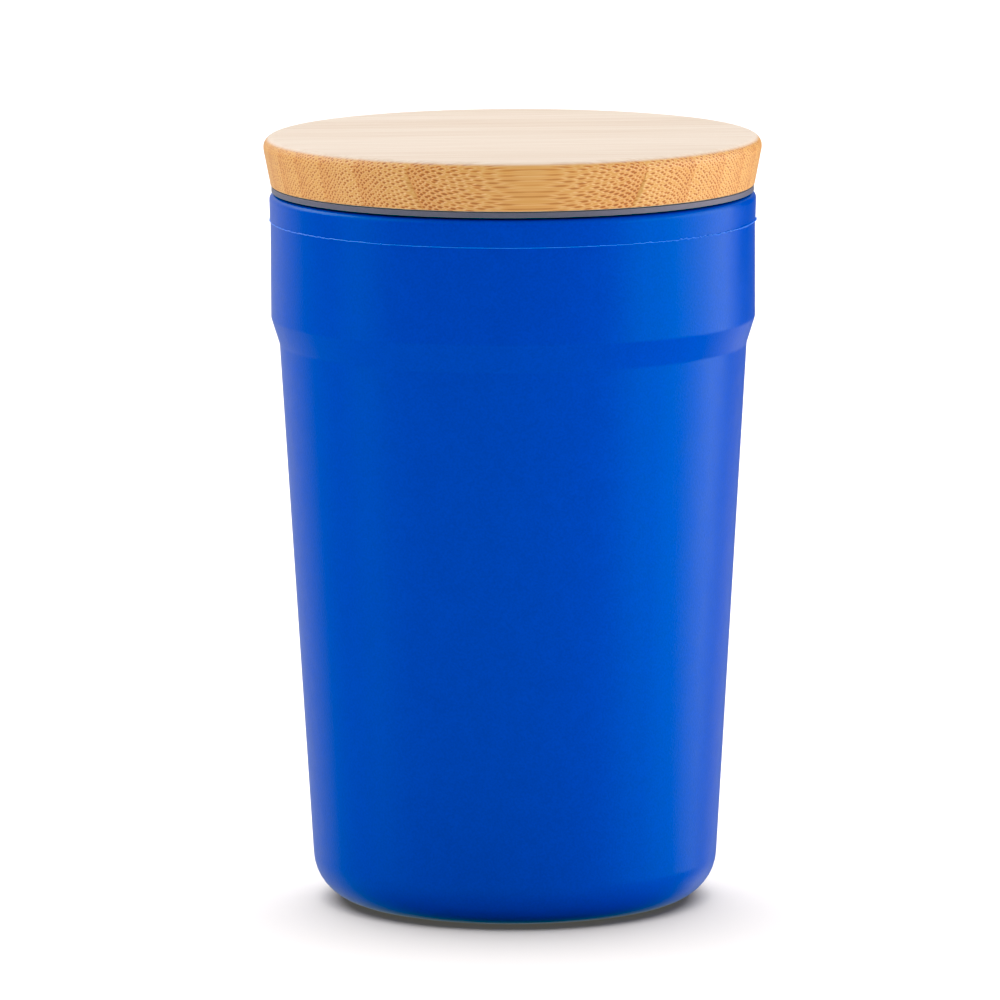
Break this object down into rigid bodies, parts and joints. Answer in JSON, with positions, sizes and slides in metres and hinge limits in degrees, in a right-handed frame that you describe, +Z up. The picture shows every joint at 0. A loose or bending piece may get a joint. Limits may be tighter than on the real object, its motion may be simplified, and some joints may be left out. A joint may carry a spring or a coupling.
{
  "type": "paw washer cup",
  "caption": "Round double-wall plastic washing cup with a wide upper band, a lift-out bristled silicone sleeve inside and a plug-in lid with a laminated bamboo board.",
  "frame": {"origin": "centre of the underside, on the surface the cup stands on", "axes": "+Z up along the cup's axis, -Y towards the front, +X to the right seen from the front"},
  "size_m": [0.0848, 0.0848, 0.131],
  "materials": {
    "shell_plastic": "satin moulded polypropylene, royal blue",
    "liner_plastic": "satin moulded polypropylene, royal blue",
    "sleeve_silicone": "soft translucent grey-white silicone",
    "lid_bamboo": "fine sanded bare bamboo",
    "plug_plastic": "satin moulded plastic, mid grey",
    "seal_silicone": "translucent silicone",
    "screw_steel": "bright stainless steel"
  },
  "bodies": {
    "cup": {"outer_shell": "shell_plastic", "inner_liner": "liner_plastic"},
    "sleeve": {"brush_sleeve": "sleeve_silicone"},
    "lid": {"lid_strip_01": "lid_bamboo", "lid_strip_02": "lid_bamboo", "lid_strip_03": "lid_bamboo", "lid_strip_04": "lid_bamboo", "lid_strip_05": "lid_bamboo", "lid_strip_06": "lid_bamboo", "lid_strip_07": "lid_bamboo", "lid_strip_08": "lid_bamboo", "lid_strip_09": "lid_bamboo", "lid_strip_10": "lid_bamboo", "lid_strip_11": "lid_bamboo", "lid_strip_12": "lid_bamboo", "lid_strip_13": "lid_bamboo", "lid_strip_14": "lid_bamboo", "lid_plug": "plug_plastic", "lid_seal": "seal_silicone", "lid_screw_1": "screw_steel", "lid_screw_2": "screw_steel", "lid_screw_3": "screw_steel", "lid_screw_4": "screw_steel"}
  },
  "joints": [
    {"name": "sleeve_lift", "type": "slide", "parent": "cup", "child": "sleeve", "axis": [0, 0, 1], "range_m": [0, 0.092]},
    {"name": "lid_lift", "type": "slide", "parent": "sleeve", "child": "lid", "axis": [0, 0, 1], "range_m": [0, 0.03]}
  ]
}
